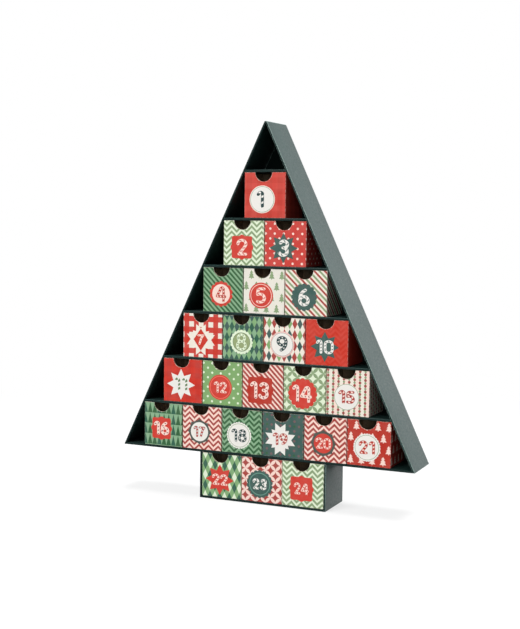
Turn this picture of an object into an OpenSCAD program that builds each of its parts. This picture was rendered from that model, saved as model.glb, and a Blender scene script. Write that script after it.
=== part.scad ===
// A tree-shaped advent calendar of paper-wrapped board: a pointed crown on a square trunk,
// with open drawers that pull straight out to the front.
// X runs left to right, Y front to back, Z up. The origin lies under the middle of the
// trunk, halfway between the front and the back.

/* [Drawers] */
// Width of a drawer
drawer_w = 49.4; // [40:0.2:70]
// Height of a drawer
drawer_h = 50; // [40:0.5:70]
// Thickness of the drawers' board
drawer_wall = 1.2; // [0.8:0.1:2]
// Radius of a drawer's upright folds
fold_r = 0.8; // [0.2:0.1:2]
// Radius of the finger notch in a drawer's front
notch_r = 10.2; // [6:0.2:14]
// Distance from the middle of the front to the notch, which sits left of it
notch_shift = 1.8; // [0:0.1:3]

/* [Case] */
// Depth of the case from front to back
case_depth = 55; // [40:0.5:90]
// Thickness of the sloping boards and of the trunk's walls
outer_board = 2.2; // [1.5:0.1:4]
// Thickness of the shelves and of both floors
shelf_board = 2.3; // [1.5:0.1:4]
// Thickness of the back boards
back_board = 2.3; // [1.5:0.1:4]
// Depth of the step from the case's rear edges in to the back boards
back_inset = 1; // [0:0.1:4]
// Height of board between the peak of the top niche and the flat tip
tip_cover = 2.1; // [0.6:0.1:2.6]
// Rows of drawers in the crown, each with one drawer more than the row above it
crown_rows = 6; // [3:1:8]
// Drawers side by side in the trunk
trunk_drawers = 3; // [1:1:3]

/* [Fit] */
// Gap between two neighbours in a row of the crown
crown_gap = 0.9; // [0.4:0.1:2]
// Gap on each side of a drawer in the trunk
trunk_gap = 0.5; // [0.3:0.05:1]
// Gap under a drawer
under_gap = 0.3; // [0.2:0.05:0.6]
// Gap over a drawer
over_gap = 0.55; // [0.3:0.05:1.5]
// Gap from the lowest row's top corners across to the sloping boards
low_slope_gap = 0.3; // [0.2:0.05:1]
// Gap from the top drawer's top corners across to the sloping boards
top_slope_gap = 0.7; // [0.2:0.05:2]
// Gap behind a drawer
rear_gap = 1.2; // [0.5:0.1:4]
// Depth of the step from the case's front edges in to the drawers' fronts
front_step = 0; // [0:0.1:3]

/* [Hidden] */
$fn = 72;
// How far a cut runs past the board that it cuts
overrun = 1;

// Colours of the wrapping paper and of the drawers' printed grounds
case_green = "#1b3f36";
red = "#c8362f";
cream = "#ece4d4";
leaf = "#74a266";
pine = "#2c6b4a";
slate = "#3d625f";
// The ground of each drawer's print, in the order of their numbers
grounds = [red, cream, red, leaf, cream, cream, red, pine, cream, red, red, leaf,
           red, cream, cream, leaf, red, pine, slate, red, red, leaf, cream, cream];

// Front and rear planes
front_y = -case_depth / 2;
rear_y = case_depth / 2;
back_face_y = rear_y - back_inset - back_board;
drawer_front_y = front_y + front_step;
drawer_d = back_face_y - rear_gap - drawer_front_y;

// Heights: one cell holds one row of drawers between two boards
cell_h = under_gap + drawer_h + over_gap;
row_pitch = shelf_board + cell_h;
crown_z = shelf_board + cell_h;
low_row_z = crown_z + shelf_board + under_gap;

// Each row of the crown is one drawer narrower than the row below it, half a drawer on
// each side, and the sloping boards pass just outside the rows' top corners
pitch = drawer_w + crown_gap;
low_row_half_w = (crown_rows * pitch - crown_gap) / 2;
low_inner_x = low_row_half_w + low_slope_gap;
top_inner_x = drawer_w / 2 + top_slope_gap;
slope = (low_inner_x - top_inner_x) / ((crown_rows - 1) * row_pitch);
slope_angle = atan(slope);
trunk_pitch = drawer_w + trunk_gap;
trunk_half_w = (trunk_drawers * trunk_pitch + trunk_gap) / 2;

// Half of the crown's width at the height z, inside and outside its sloping boards
function inner_x(z) = low_inner_x + (low_row_z + drawer_h - z) * slope;
function outer_x(z) = inner_x(z) + outer_board / cos(slope_angle);
niche_peak_z = inner_x(0) / slope;
tip_z = niche_peak_z + tip_cover;

// Drawers are numbered from the tip down, and from left to right in each row
crown_drawers = crown_rows * (crown_rows + 1) / 2;
drawer_count = crown_drawers + trunk_drawers;
function in_trunk(n) = n > crown_drawers;
function row_of(n) = ceil((sqrt(8 * n + 1) - 1) / 2);
function place_in_row(n) = in_trunk(n) ? n - crown_drawers - 1 : n - 1 - row_of(n) * (row_of(n) - 1) / 2;
function drawer_x(n) = in_trunk(n)
    ? (place_in_row(n) - (trunk_drawers - 1) / 2) * trunk_pitch
    : (place_in_row(n) - (row_of(n) - 1) / 2) * pitch;
function drawer_z(n) = in_trunk(n)
    ? shelf_board + under_gap
    : low_row_z + (crown_rows - row_of(n)) * row_pitch;
// Underside of the shelf that lies over row k
function shelf_z(k) = low_row_z + drawer_h + over_gap + (crown_rows - k) * row_pitch;

function two_digits(n) = str(n < 10 ? "0" : "", n);
function drawer_name(n) = str("drawer_", two_digits(n));
function shelf_name(k) = str("shelf_", k);

// A board whose outline lies in X and Z, between two depths
module upright(from_y, to_y) {
    translate([0, to_y, 0]) rotate([90, 0, 0]) linear_extrude(to_y - from_y) children();
}

// A level board of the crown with its ends cut to the slope
module crown_board(z, to_y) {
    top_z = z + shelf_board;
    upright(front_y, to_y)
        polygon([[-inner_x(z), z], [inner_x(z), z], [inner_x(top_z), top_z], [-inner_x(top_z), top_z]]);
}

module right_roof_board() {
    color(case_green)
        upright(front_y, rear_y)
            polygon([[inner_x(crown_z), crown_z], [outer_x(crown_z), crown_z],
                     [outer_x(tip_z), tip_z], [0, tip_z], [0, niche_peak_z]]);
}

module left_roof_board() {
    mirror([1, 0, 0]) right_roof_board();
}

// The crown's floor also lies over the trunk's drawers, and it runs on to the rear edges
module crown_floor() {
    color(case_green) crown_board(crown_z, rear_y);
}

module crown_back() {
    base_z = crown_z + shelf_board;
    color(case_green)
        upright(back_face_y, back_face_y + back_board)
            polygon([[-inner_x(base_z), base_z], [inner_x(base_z), base_z], [0, niche_peak_z]]);
}

module shelf(k) {
    color(case_green) crown_board(shelf_z(k), back_face_y);
}

module trunk_right_wall() {
    color(case_green)
        translate([trunk_half_w, front_y, 0]) cube([outer_board, case_depth, crown_z]);
}

module trunk_left_wall() {
    mirror([1, 0, 0]) trunk_right_wall();
}

module trunk_floor() {
    color(case_green)
        translate([-trunk_half_w, front_y, 0]) cube([2 * trunk_half_w, case_depth, shelf_board]);
}

module trunk_back() {
    color(case_green)
        translate([-trunk_half_w, back_face_y, shelf_board])
            cube([2 * trunk_half_w, back_board, crown_z - shelf_board]);
}

// Plan of a drawer, with its four upright folds rounded
module drawer_plan() {
    translate([-drawer_w / 2 + fold_r, 0]) square([drawer_w - 2 * fold_r, drawer_d]);
    translate([-drawer_w / 2, fold_r]) square([drawer_w, drawer_d - 2 * fold_r]);
    for (x = [-drawer_w / 2 + fold_r, drawer_w / 2 - fold_r], y = [fold_r, drawer_d - fold_r])
        translate([x, y]) circle(r = fold_r);
}

// An open tray with a round finger notch in the top edge of its front
module tray() {
    difference() {
        linear_extrude(drawer_h) drawer_plan();
        translate([-drawer_w / 2 + drawer_wall, drawer_wall, drawer_wall])
            cube([drawer_w - 2 * drawer_wall, drawer_d - 2 * drawer_wall, drawer_h]);
        translate([-notch_shift, drawer_wall + overrun, drawer_h])
            rotate([90, 0, 0]) cylinder(r = notch_r, h = drawer_wall + 2 * overrun);
    }
}

module drawer(n) {
    color(grounds[(n - 1) % len(grounds)])
        translate([drawer_x(n), drawer_front_y, drawer_z(n)]) tray();
}

left_roof_board();
right_roof_board();
crown_floor();
crown_back();
trunk_left_wall();
trunk_right_wall();
trunk_floor();
trunk_back();
for (k = [1:crown_rows]) shelf(k);
for (n = [1:drawer_count]) drawer(n);
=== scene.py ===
"""Looks of a tree-shaped advent calendar: boards wrapped in green paper and printed card drawers.

Lengths are metres in the frame of the construction: X to the right, Y to the back, Z up.
Lengths that end up on printed paper are millimetres, because each drawer's wrap map and
each numeral's stroke map count in millimetres. Inks are sRGB levels out of 255.
"""
import logging
import math
from collections.abc import Iterable, Sequence
from dataclasses import dataclass, field
from enum import Enum, IntEnum
from functools import cache
from typing import Any

import bmesh
import bpy
from bmesh.types import BMEdge, BMesh, BMFace, BMVert
from mathutils import Matrix, Vector


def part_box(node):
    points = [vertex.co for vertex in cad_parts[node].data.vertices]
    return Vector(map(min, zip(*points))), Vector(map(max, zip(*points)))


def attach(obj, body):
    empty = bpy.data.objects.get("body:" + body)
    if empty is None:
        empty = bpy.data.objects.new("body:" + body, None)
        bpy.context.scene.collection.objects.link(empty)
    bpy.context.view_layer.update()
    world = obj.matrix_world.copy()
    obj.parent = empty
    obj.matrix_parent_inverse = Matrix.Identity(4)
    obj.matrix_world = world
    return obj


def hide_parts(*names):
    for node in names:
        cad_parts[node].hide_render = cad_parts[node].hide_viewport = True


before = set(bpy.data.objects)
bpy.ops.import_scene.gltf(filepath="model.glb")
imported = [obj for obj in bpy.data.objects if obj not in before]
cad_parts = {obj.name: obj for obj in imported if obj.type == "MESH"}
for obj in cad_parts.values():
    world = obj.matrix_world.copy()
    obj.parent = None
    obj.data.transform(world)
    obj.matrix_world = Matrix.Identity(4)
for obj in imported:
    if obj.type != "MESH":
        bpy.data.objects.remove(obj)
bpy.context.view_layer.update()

MM = 0.001
TOUCH = 0.01 * MM
MOSTLY = 0.9
PRINT_GLOSS = 0.3
UP = Vector((0, 0, 1))
FRONT = Vector((0, -1, 0))
log = logging.getLogger("advent_calendar")


class Ink(Enum):
    """Printing inks and papers, as sRGB levels out of 255."""

    CASE_GREEN = (11, 50, 47)
    # Pale paper that shows in rubbed flecks and, as a painted highlight, evenly along the lighter folds.
    CASE_RUBBED = (142, 164, 158)
    # Darker green painted as shade: on the inner faces, the left and lower folds and the fronts, and towards
    # the back of the outer paper.
    LINING = (15, 32, 30)
    RED = (203, 48, 30)
    WARM_RED = (205, 64, 56)
    TOMATO = (209, 59, 47)
    POPPY = (212, 72, 61)
    SCARLET = (211, 50, 33)
    DARK_RED = (184, 46, 30)
    BRICK = (172, 65, 58)
    RUST = (160, 72, 64)
    WINE = (140, 42, 44)
    HEATHER = (112, 86, 88)
    CORAL = (236, 112, 94)
    CREAM = (246, 238, 224)
    WHITE = (242, 239, 233)
    IVORY = (240, 236, 224)
    BLUSH = (254, 224, 212)
    MINT = (233, 245, 218)
    LEAF = (133, 175, 121)
    FERN = (137, 177, 139)
    MOSS = (129, 171, 108)
    SAGE = (141, 165, 122)
    OLIVE = (150, 166, 116)
    MYRTLE = (102, 128, 88)
    PINE = (43, 92, 53)
    SLATE = (54, 87, 81)
    NIGHT = (40, 64, 64)
    FOREST = (42, 92, 72)
    TEAL = (104, 156, 138)
    UMBER = (120, 84, 70)
    BARK = (72, 78, 72)
    BOARD = (186, 160, 130)
    BOARD_FLECK = (70, 58, 46)
    CUT = (214, 194, 172)

    @property
    def rgba(self) -> tuple[float, ...]:
        """The ink as linear light with full alpha."""
        return *(self._linear(level / 255) for level in self.value), 1.0

    @staticmethod
    def _linear(level: float) -> float:
        """One sRGB level from 0 to 1 as linear light."""
        return level / 12.92 if level <= 0.04045 else ((level + 0.055) / 1.055) ** 2.4


class Slot(Enum):
    """Names of material slots; each piece keeps one, but nothing here reads it."""

    CASE = "case_paper"
    RED = "red_print"
    CREAM = "cream_print"
    LEAF = "leaf_print"
    PINE = "pine_print"
    SLATE = "slate_print"


class Signal:
    """A shader socket that is written in sums, so that 1 - mask adds its own Math node."""

    def __init__(self, graph: "Graph", socket: bpy.types.NodeSocket | None) -> None:
        """Keeps the socket and the graph that its sums are added to."""
        self.graph = graph
        self.socket = socket

    def _maths(self, operation: str, *values: "Signal | float") -> "Signal":
        """Adds a Math node of that operation on the given values."""
        return self.graph.node("ShaderNodeMath", {"operation": operation}, dict(enumerate(values)))

    def __add__(self, other: "Signal | float") -> "Signal":
        """Sum."""
        return self._maths("ADD", self, other)

    def __radd__(self, other: float) -> "Signal":
        """Sum with a number on the left."""
        return self._maths("ADD", other, self)

    def __sub__(self, other: "Signal | float") -> "Signal":
        """Difference."""
        return self._maths("SUBTRACT", self, other)

    def __rsub__(self, other: float) -> "Signal":
        """Difference with a number on the left."""
        return self._maths("SUBTRACT", other, self)

    def __mul__(self, other: "Signal | float") -> "Signal":
        """Product."""
        return self._maths("MULTIPLY", self, other)

    def __rmul__(self, other: float) -> "Signal":
        """Product with a number on the left."""
        return self._maths("MULTIPLY", other, self)

    def __truediv__(self, other: "Signal | float") -> "Signal":
        """Quotient."""
        return self._maths("DIVIDE", self, other)

    def __pow__(self, other: "Signal | float") -> "Signal":
        """Power."""
        return self._maths("POWER", self, other)

    def __lt__(self, other: "Signal | float") -> "Signal":
        """Mask that is 1 where this is less than the other."""
        return self._maths("LESS_THAN", self, other)

    def __gt__(self, other: "Signal | float") -> "Signal":
        """Mask that is 1 where this is more than the other."""
        return self._maths("GREATER_THAN", self, other)

    def __abs__(self) -> "Signal":
        """Size without its sign."""
        return self._maths("ABSOLUTE", self)

    def __floor__(self) -> "Signal":
        """Largest whole number that isn't above this."""
        return self._maths("FLOOR", self)

    def part(self) -> "Signal":
        """What is left above the whole number, from 0 to 1."""
        return self._maths("FRACT", self)

    def repeat(self, period: float) -> "Signal":
        """Distance to the nearest multiple of the period, with its sign."""
        return self._maths("WRAP", self, period / 2, -period / 2)

    def count(self, period: float) -> "Signal":
        """Whole number of the nearest multiple of the period."""
        return math.floor(self / period + 0.5)

    def is_odd(self) -> "Signal":
        """Mask of the odd whole numbers."""
        return (self * 0.5).part() > 0.25

    def zigzag(self, reach: float) -> "Signal":
        """Runs from 0 up to the reach and down again."""
        return self._maths("PINGPONG", self, reach)

    def least(self, other: "Signal | float") -> "Signal":
        """The smaller of the two."""
        return self._maths("MINIMUM", self, other)

    def most(self, other: "Signal | float") -> "Signal":
        """The larger of the two."""
        return self._maths("MAXIMUM", self, other)

    def ramp(self, start: float, end: float) -> "Signal":
        """Climbs smoothly from 0 at the start to 1 at the end. The start may lie above the end."""
        settings = {"interpolation_type": "SMOOTHSTEP", "clamp": True}
        return self.graph.node("ShaderNodeMapRange", settings, {0: self, 1: start, 2: end, 3: 0.0, 4: 1.0})

    def between(self, first: "Signal | Ink", second: "Signal | Ink", blend: str = "MIX") -> "Signal":
        """Mixes two colours: the first where this is 0, and the second, by that blend, where it is 1."""
        settings = {"data_type": "RGBA", "blend_type": blend}
        return self.graph.node("ShaderNodeMix", settings, {0: self, 6: first, 7: second}, 2)


def reach_of(across: Signal, along: Signal) -> Signal:
    """Straight distance that two distances at right angles make."""
    return (across * across + along * along) ** 0.5


def near(across: Signal, along: Signal, reach: float) -> Signal:
    """Mask of a round dot: 1 where the two distances stay within the reach."""
    return (across * across + along * along) < reach * reach


def diamond(across: Signal, along: Signal, width: float, height: float) -> Signal:
    """Mask of a diamond of that width and height round the point where both distances are 0."""
    return (abs(across) / width + abs(along) / height) < 0.5


def stripe(across: Signal, period: float, width: float) -> Signal:
    """Mask of stripes of that width round each multiple of the period."""
    return abs(across.repeat(period)) < width / 2


class Graph:
    """The node tree of one material or of the world, with one method that makes every node."""

    def __init__(self, owner: bpy.types.Material | bpy.types.World) -> None:
        """Empties the owner's node tree.

        Args:
            owner: Material or world whose nodes are made here.
        """
        owner.use_nodes = True
        self.owner = owner
        self.tree = owner.node_tree
        self.tree.nodes.clear()

    @classmethod
    def of_material(cls, name: str) -> "Graph":
        """Starts an empty material of that name."""
        return cls(bpy.data.materials.new(name))

    def node(self, kind: str, settings: dict[str, Any] | None = None,
             values: dict[int | str, Any] | None = None, output: int | str = 0) -> Signal:
        """Makes a node.

        Args:
            kind: Type of the node, as Blender names it.
            settings: Settings that are made first, such as a Math node's operation.
            values: Numbers, inks, colours or links for the sockets, by number or name.
            output: Socket that the returned signal reads.

        Returns:
            The chosen output.
        """
        made = self.tree.nodes.new(kind)
        for name, value in (settings or {}).items():
            setattr(made, name, value)
        for key, value in (values or {}).items():
            if isinstance(value, Signal):
                self.tree.links.new(value.socket, made.inputs[key])
            else:
                made.inputs[key].default_value = value.rgba if isinstance(value, Ink) else value
        return Signal(self, made.outputs[output] if made.outputs else None)

    def place(self) -> Signal:
        """Place on the object in millimetres."""
        metres = self.node("ShaderNodeTexCoord", output="Object")
        return self.node("ShaderNodeVectorMath", {"operation": "SCALE"}, {0: metres, "Scale": 1 / MM})

    def stretched(self, vector: Signal, factors: tuple[float, float, float]) -> Signal:
        """The vector times a number of its own for each axis."""
        return self.node("ShaderNodeVectorMath", {"operation": "MULTIPLY"}, {0: vector, 1: factors})

    def map(self, name: str) -> Signal:
        """Place on the piece's own map of that name, in millimetres."""
        return self.node("ShaderNodeUVMap", {"uv_map": name})

    def split(self, vector: Signal) -> list[Signal]:
        """The three parts of a vector."""
        parts = self.node("ShaderNodeSeparateXYZ", {}, {0: vector}).socket.node.outputs
        return [Signal(self, part) for part in parts]

    def seen(self) -> Signal:
        """Finds the rays that show what they hit: straight from the camera, in gloss or through glass.

        Returns:
            A mask that is 1 on such rays.
        """
        rays = self.node("ShaderNodeLightPath").socket.node.outputs
        camera, gloss, glass = (Signal(self, rays[f"Is {kind} Ray"])
                                for kind in ("Camera", "Glossy", "Transmission"))
        return camera.most(gloss).most(glass)

    def clouds(self, where: Signal, size: float, detail: float) -> Signal:
        """Smooth noise that mostly lies between 0.3 and 0.7, with clouds of a size in millimetres."""
        return self.node("ShaderNodeTexNoise", {}, {"Vector": where, "Scale": 1 / size, "Detail": detail})

    def flecks(self, where: Signal, size: float, reach: float) -> Signal:
        """Small scattered flecks.

        Args:
            where: Place in millimetres.
            size: Mean distance between flecks in millimetres.
            reach: Radius of a fleck as a share of that distance.

        Returns:
            A mask that is 1 in the middle of each fleck.
        """
        settings = {"voronoi_dimensions": "3D", "feature": "F1"}
        gap = self.node("ShaderNodeTexVoronoi", settings, {"Vector": where, "Scale": 1 / size}, "Distance")
        return gap.ramp(reach, reach / 2)

    def finish(self, colour: Signal, roughness: Signal, relief: Signal, depth: float,
               gloss: float = 0.5) -> bpy.types.Material:
        """Closes the material with its surface.

        Args:
            colour: Base colour.
            roughness: Roughness.
            relief: Height of the surface, from 0 to 1.
            depth: Height in metres that a relief of 1 stands for.
            gloss: Specular level.

        Returns:
            The finished material.
        """
        normal = self.node("ShaderNodeBump", {}, {"Strength": 1.0, "Distance": depth, "Height": relief})
        values = {"Base Color": colour, "Roughness": roughness, "Normal": normal, "Specular IOR Level": gloss}
        surface = self.node("ShaderNodeBsdfPrincipled", {}, values)
        self.node("ShaderNodeOutputMaterial", {}, {"Surface": surface})
        return self.owner


class Finish:
    """A finish of a surface. Each kind is a frozen dataclass, so that equal ones share a material."""

    def material(self) -> bpy.types.Material:
        """The finish as a material."""
        raise NotImplementedError


@dataclass(frozen=True)
class WrapPaper(Finish):
    """Dark green paper that is glued round the case's boards."""

    name: str
    ink: Ink = Ink.CASE_GREEN
    cloud: Ink = Ink.SLATE
    # Share of rubbed flecks, and of an even painted highlight that lightens the whole fold.
    rub: float = 0.0
    gloss: float = 0.72
    roughness: float = 0.46
    burnish_per_mm: float = 0.0
    # Painted shade: the colour darkens towards the back by this share per millimetre, from the given depth
    # on.
    fade_per_mm: float = 0.0
    fade_from_mm: float = -9.0
    cockle_mm: float = 26.0
    mottle_mm: float = 2.2
    fleck_mm: float = 1.6
    fibre_mm: float = 0.7
    tooth_mm: float = 0.35
    cloud_share: float = 0.14
    roughness_spread: float = 0.3
    depth: float = 0.35 * MM

    def material(self) -> bpy.types.Material:
        """Makes the paper: rubbed flecks, painted highlight on folds, smoother at the front, painted shade at
        the back.

        Returns:
            The material.
        """
        graph = Graph.of_material(self.name)
        where = graph.place()
        cockle = graph.clouds(where, self.cockle_mm, 2)
        tooth = graph.clouds(where, self.tooth_mm, 2)
        fibre = graph.clouds(graph.stretched(where, (0.25, 1.0, 1.0)), self.fibre_mm, 4)
        shade = (cockle * 0.5 + fibre * 0.5).ramp(0.25, 0.75)
        colour = (shade * self.cloud_share).between(self.ink, self.cloud)
        worn = graph.clouds(where, self.fleck_mm, 5).ramp(0.62 - 0.3 * self.rub, 0.72 - 0.2 * self.rub)
        # The flecks are real wear; the even part lightens the whole fold as a painted highlight.
        colour = (worn * (0.05 + 0.5 * self.rub) + 0.3 * self.rub).between(colour, Ink.CASE_RUBBED)
        _, back, _ = graph.split(where)
        # Painted shade: darker towards the back of the board.
        painted_shade = self.fade_per_mm * (back - self.fade_from_mm)
        colour = painted_shade.most(0.0).between(colour, Ink.LINING)
        mottle = graph.clouds(where, self.mottle_mm, 1)
        roughness = self.roughness + (fibre - 0.5) * self.roughness_spread + worn * 0.12
        roughness = roughness + back * self.burnish_per_mm + (mottle - 0.5) * self.roughness_spread
        relief = cockle * 0.8 + tooth * 0.06 + fibre * 0.03
        return graph.finish(colour, roughness, relief, self.depth, self.gloss)


@dataclass(frozen=True, kw_only=True)
class Pattern:
    """A printed repeat on a drawer's wrap, with all its lengths in millimetres."""

    shift: tuple[float, float] = (0.0, 0.0)

    def printed(self, u: Signal, v: Signal) -> Signal:
        """Colour of the print at a distance round the drawer from the front's middle, and a height."""
        return self.paint(u - self.shift[0], v - self.shift[1])

    def paint(self, u: Signal, v: Signal) -> Signal:
        """Colour of the repeat at a distance to the right of its start and a height above it."""
        raise NotImplementedError


@dataclass(frozen=True)
class Plaid(Pattern):
    """Plain ground with a faint tonal check."""

    ground: Ink
    shade: Ink
    period: float = 12.3
    strength: float = 0.55

    def paint(self, u: Signal, v: Signal) -> Signal:
        """Shades the ground with bands both ways."""
        warp, weft = (stripe(way, self.period, self.period / 2) for way in (u, v))
        return ((warp + weft) * (self.strength / 2)).between(self.ground, self.shade)


@dataclass(frozen=True)
class Chevrons(Pattern):
    """Zigzag lines, one over the other."""

    ground: Ink
    line: Ink
    line_share: float = 0.5
    width: float = 12.25
    pitch: float = 6.15
    rise: float = 5.9
    strength: float = 1.0

    def paint(self, u: Signal, v: Signal) -> Signal:
        """Lifts and lowers level lines in a zigzag.

        Args:
            u: Distance to the right.
            v: Height.

        Returns:
            The printed colour.
        """
        climb = u.zigzag(self.width / 2) * (2 * self.rise / self.width)
        band = ((v + climb) / self.pitch).part()
        return ((band < self.line_share) * self.strength).between(self.ground, self.line)


@dataclass(frozen=True)
class Stripes(Pattern):
    """Slanting stripes that fall to the right, in one or two inks by turns."""

    ground: Ink
    first: Ink
    second: Ink
    line: float
    period: float = 6.15
    fall: float = 0.98

    def paint(self, u: Signal, v: Signal) -> Signal:
        """Draws the stripes of one ink midway between those of the other.

        Args:
            u: Distance to the right.
            v: Height.

        Returns:
            The printed colour.
        """
        across = u + v / self.fall
        colour = stripe(across, 2 * self.period, self.line).between(self.ground, self.first)
        return stripe(across + self.period, 2 * self.period, self.line).between(colour, self.second)


@dataclass(frozen=True)
class Dots(Pattern):
    """Dots on a lattice with one more dot in the middle of each cell."""

    ground: Ink
    dot: Ink
    diameter: float = 2.7
    across: float = 10.85
    down: float = 10.9
    between: Ink | None = None
    between_share: float = 0.9

    def paint(self, u: Signal, v: Signal) -> Signal:
        """Draws the dots, and a third set between them where it has an ink.

        Args:
            u: Distance to the right.
            v: Height.

        Returns:
            The printed colour.
        """
        reach = self.diameter / 2
        left, level = u.repeat(self.across), v.repeat(self.down)
        right = (u + self.across / 2).repeat(self.across)
        middles = near(right, (v + self.down / 2).repeat(self.down), reach)
        colour = near(left, level, reach).most(middles).between(self.ground, self.dot)
        if self.between is None:
            return colour
        return near(right, level, reach * self.between_share).between(colour, self.between)


@dataclass(frozen=True)
class Trees(Pattern):
    """Small layered fir trees in staggered rows."""

    ground: Ink
    tree: Ink
    width: float
    height: float = 8.7
    across: float = 12.28
    down: float = 12.4
    layers: int = 3
    crown_share: float = 0.36
    layer_share: float = 0.18
    trunk_share: float = 0.14

    def paint(self, u: Signal, v: Signal) -> Signal:
        """Draws two sets of trees, each in the gaps of the other.

        Args:
            u: Distance to the right.
            v: Height.

        Returns:
            The printed colour.
        """
        first = self._tree(u.repeat(self.across), v.repeat(2 * self.down))
        second = self._tree((u + self.across / 2).repeat(self.across), (v + self.down).repeat(2 * self.down))
        return first.most(second).between(self.ground, self.tree)

    def _tree(self, across: Signal, up: Signal) -> Signal:
        """Draws one tree whose branches begin where both distances are 0.

        Args:
            across: Distance from the trunk's middle.
            up: Height above the lowest branches.

        Returns:
            The tree's mask.
        """
        climb = up / self.height
        layer = (climb * self.layers).part()
        half = (1 - climb) * (self.width * self.crown_share) + (1 - layer) * (self.width * self.layer_share)
        branches = (abs(across) < half) * (climb > 0) * (climb < 1)
        trunk = (abs(across) < self.width * self.trunk_share / 2) * (abs(climb) < self.trunk_share)
        return branches.most(trunk)


@dataclass(frozen=True)
class Gingham(Pattern):
    """Woven-look squares in two strengths of one ink."""

    ground: Ink
    single: Ink
    double: Ink
    period: float

    def paint(self, u: Signal, v: Signal) -> Signal:
        """Crosses two sets of bands that are half a repeat wide.

        Args:
            u: Distance to the right.
            v: Height.

        Returns:
            The printed colour.
        """
        half = self.period / 2
        warp, weft = (stripe(way + half, self.period, half) for way in (u, v))
        return (warp * weft).between(warp.most(weft).between(self.ground, self.single), self.double)


@dataclass(frozen=True)
class Harlequin(Pattern):
    """Tall diamonds that touch, with two inks by turns in one half and two in the other."""

    even: tuple[Ink, Ink]
    odd: tuple[Ink, Ink]
    width: float = 6.14
    height: float = 12.26

    def paint(self, u: Signal, v: Signal) -> Signal:
        """Fills the diamonds and the equal gaps between them.

        Args:
            u: Distance to the right.
            v: Height.

        Returns:
            The printed colour.
        """
        even = self._pair(u, v, self.even)
        odd = self._pair(u + self.width / 2, v + self.height / 2, self.odd)
        inside = diamond(u.repeat(self.width), v.repeat(self.height), self.width, self.height)
        return inside.between(odd, even)

    def _pair(self, u: Signal, v: Signal, inks: tuple[Ink, Ink]) -> Signal:
        """Colour of one half of the diamonds, with its two inks by turns."""
        return (u.count(self.width) + v.count(self.height)).is_odd().between(*inks)


@dataclass(frozen=True)
class DiamondColumns(Pattern):
    """Columns of separate tall diamonds: every other column in one ink, the rest in two by turns."""

    ground: Ink
    main: Ink
    others: tuple[Ink, Ink]
    across: float = 6.13
    down: float = 12.32
    width: float = 6.1
    height: float = 12.2

    def paint(self, u: Signal, v: Signal) -> Signal:
        """Draws the diamonds with the ink of their column and row.

        Args:
            u: Distance to the right.
            v: Height.

        Returns:
            The printed colour.
        """
        column = u.count(self.across)
        other = (math.floor(column * 0.5) + v.count(self.down)).is_odd().between(*self.others)
        inside = diamond(u.repeat(self.across), v.repeat(self.down), self.width, self.height)
        return inside.between(self.ground, column.is_odd().between(self.main, other))


@dataclass(frozen=True)
class Petals(Pattern):
    """Overlapping circles whose lenses show as petals that meet in crosses."""

    ground: Ink
    petal: Ink
    spacing: float = 8.68

    def paint(self, u: Signal, v: Signal) -> Signal:
        """Draws the lenses on a lattice that stands on its corner.

        Args:
            u: Distance to the right.
            v: Height.

        Returns:
            The printed colour.
        """
        turn = math.sqrt(0.5)
        first = abs(((u + v) * turn).repeat(self.spacing))
        second = abs(((u - v) * turn).repeat(self.spacing))
        reach = self.spacing * turn
        lens = near(self.spacing - first, second, reach).most(near(first, self.spacing - second, reach))
        return lens.between(self.ground, self.petal)


@dataclass(frozen=True)
class BeadColumns(Pattern):
    """Upright garlands of large and small beads by turns, staggered from one to the next."""

    ground: Ink
    band: Ink
    bead: Ink
    small_bead: Ink
    thread: Ink
    across: float = 6.13
    down: float = 6.2
    bead_size: float = 3.1
    small_size: float = 2.6
    thread_width: float = 1.2
    band_strength: float = 0.8
    thread_strength: float = 0.75

    def paint(self, u: Signal, v: Signal) -> Signal:
        """Lays the bands, the threads and then the beads on the ground.

        Args:
            u: Distance to the right.
            v: Height.

        Returns:
            The printed colour.
        """
        along = v - u.count(self.across).is_odd() * (self.down / 2)
        across = u.repeat(self.across)
        band = (u / (2 * self.across)).part() > 0.5
        colour = (band * self.band_strength).between(self.ground, self.band)
        thread = abs(across) < self.thread_width / 2
        colour = (thread * self.thread_strength).between(colour, self.thread)
        small = near(across, (along + self.down / 2).repeat(self.down), self.small_size / 2)
        large = near(across, along.repeat(self.down), self.bead_size / 2)
        return large.between(small.between(colour, self.small_bead), self.bead)


@dataclass(frozen=True)
class Spires(Pattern):
    """Rows of tall thin triangles, dark ones that point up between light ones that point down."""

    light: Ink
    dark: Ink
    other: Ink
    across: float = 6.14
    down: float = 12.32

    def paint(self, u: Signal, v: Signal) -> Signal:
        """Narrows each column upwards, with the other ink in every third one.

        Args:
            u: Distance to the right.
            v: Height.

        Returns:
            The printed colour.
        """
        climb = (v / self.down).part()
        inside = abs(u.repeat(self.across)) < (1 - climb) * (self.across / 2)
        third = (u.count(self.across) / 3).part() > 0.6
        return inside.between(self.light, third.between(self.dark, self.other))


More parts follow.
